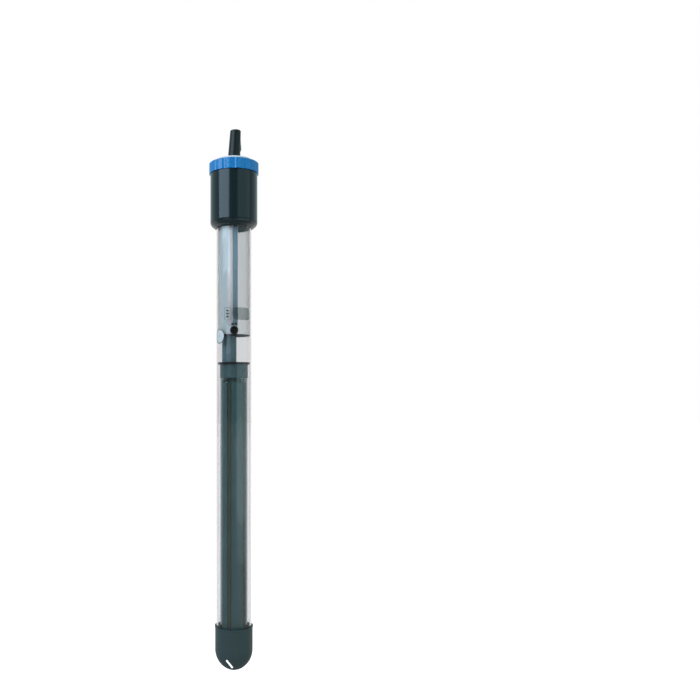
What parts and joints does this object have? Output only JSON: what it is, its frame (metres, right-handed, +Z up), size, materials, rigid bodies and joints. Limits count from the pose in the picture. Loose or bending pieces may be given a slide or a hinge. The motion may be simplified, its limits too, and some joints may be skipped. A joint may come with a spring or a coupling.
{
  "type": "submersible aquarium heater",
  "caption": "Slim glass submersible aquarium heater: black head with a blue temperature dial, thermostat and indicator above a ceramic element, round foot cap, lead and plug.",
  "frame": {"origin": "on the tube's axis, at the middle of the straight part of the head, where a holder ring grips", "axes": "+Z up along the tube towards the dial; -Y is the front with the indicator; +X to the front's right"},
  "size_m": [0.0328, 0.1064, 0.3589],
  "materials": {
    "foot_rubber": "matt moulded rubber",
    "borosilicate_glass": "clear drawn glass",
    "quartz_glass": "smoked drawn glass",
    "silicone_rubber": "moulded silicone",
    "steatite_ceramic": "fired ceramic, grey green",
    "collar_ceramic": "fired ceramic, dark",
    "post_ceramic": "glazed ceramic, slate",
    "resistance_wire": "oxidised resistance wire",
    "black_fibre": "pressed fibre board",
    "carrier_plastic": "pale heat-proof plastic",
    "clear_film": "clear polyester film",
    "spring_steel": "rolled strip",
    "phenolic": "pressed phenolic board",
    "phosphor_bronze": "rolled strip",
    "silver_contact": "turned silver alloy",
    "brass": "turned brass",
    "ferrite_magnet": "sintered ferrite",
    "dark_lens": "dark moulded lens",
    "lamp_glass": "small gas lamp",
    "resistor_coat": "lacquered resistor",
    "fuse_case": "drawn case",
    "blue_insulation": "extruded sleeve",
    "brown_insulation": "extruded sleeve",
    "black_rubber": "moulded rubber",
    "potting_resin": "cast epoxy",
    "head_plastic": "glossy moulded plastic",
    "white_plastic": "white moulded plastic",
    "stainless_steel": "turned screw",
    "boot_rubber": "matt moulded rubber",
    "cord_rubber": "extruded rubber sheath",
    "tie_rubber": "flat moulded band",
    "plug_plastic": "moulded plug",
    "pin_metal": "nickel-plated pin",
    "sleeve_plastic": "moulded sleeve",
    "blue_plastic": "blue moulded plastic",
    "nylon": "moulded nylon",
    "bimetal": "rolled bimetal strip"
  },
  "bodies": {
    "heater": {"foot_cap": "foot_rubber", "glass_tube": "borosilicate_glass", "bottom_spacer": "silicone_rubber", "element_tube": "quartz_glass", "ceramic_core": "steatite_ceramic", "heating_coil": "resistance_wire", "element_collar": "collar_ceramic", "lower_disc": "black_fibre", "terminal_post": "post_ceramic", "upper_disc": "black_fibre", "thermostat_carrier": "carrier_plastic", "insulating_sleeve": "clear_film", "mounting_bracket": "spring_steel", "rear_insulator": "phenolic", "contact_leaf": "phosphor_bronze", "fixed_contact": "silver_contact", "front_insulator": "phenolic", "blade_fork": "brass", "blade_pin": "spring_steel", "snap_magnet": "ferrite_magnet", "stack_rivets": "brass", "indicator_lens": "dark_lens", "indicator_lamp": "lamp_glass", "lamp_resistor": "resistor_coat", "thermal_fuse": "fuse_case", "neutral_lead": "blue_insulation", "live_lead": "brown_insulation", "switched_lead": "brown_insulation", "tube_bung": "black_rubber", "head_seal_sleeve": "black_rubber", "potting": "potting_resin", "spindle_bush": "brass", "spindle_oring": "black_rubber", "head_shell": "head_plastic", "scale_plate": "white_plastic", "plate_screws": "stainless_steel", "strain_relief_boot": "boot_rubber", "power_cord": "cord_rubber", "cord_hank": "cord_rubber", "cord_tie": "tie_rubber", "cord_tail": "cord_rubber", "plug_body": "plug_plastic", "plug_pins": "pin_metal", "pin_sleeves": "sleeve_plastic"},
    "dial": {"dial_ring": "blue_plastic", "dial_pointer": "white_plastic"},
    "spindle": {"adjust_spindle": "brass", "spindle_pinion": "nylon"},
    "adjuster": {"adjusting_nut": "nylon"},
    "blade": {"bimetal_blade": "bimetal", "moving_contact": "silver_contact", "blade_armature": "spring_steel"}
  },
  "joints": [
    {"name": "dial_turn", "type": "hinge", "parent": "heater", "child": "dial", "pos_m": [0, 0, 0.018], "axis": [0, 0, 1], "range_deg": [-150, 150]},
    {"name": "spindle_turn", "type": "hinge", "parent": "heater", "child": "spindle", "pos_m": [-0.00675, 0, 0], "axis": [0, 0, 1], "range_deg": [-420, 420]},
    {"name": "nut_slide", "type": "slide", "parent": "heater", "child": "adjuster", "axis": [0, 0, 1], "range_m": [-0.00082, 0.00082]},
    {"name": "blade_flex", "type": "hinge", "parent": "heater", "child": "blade", "pos_m": [0.0012, 0, -0.0781], "axis": [0, 1, 0], "range_deg": [0, 2], "stiffness_Nm_per_rad": 0.02}
  ],
  "couplings": [
    {"joint": "spindle_turn", "follows": "dial_turn", "ratio": 2.8},
    {"joint": "nut_slide", "follows": "dial_turn", "m_per_rad": 0.00031194}
  ]
}
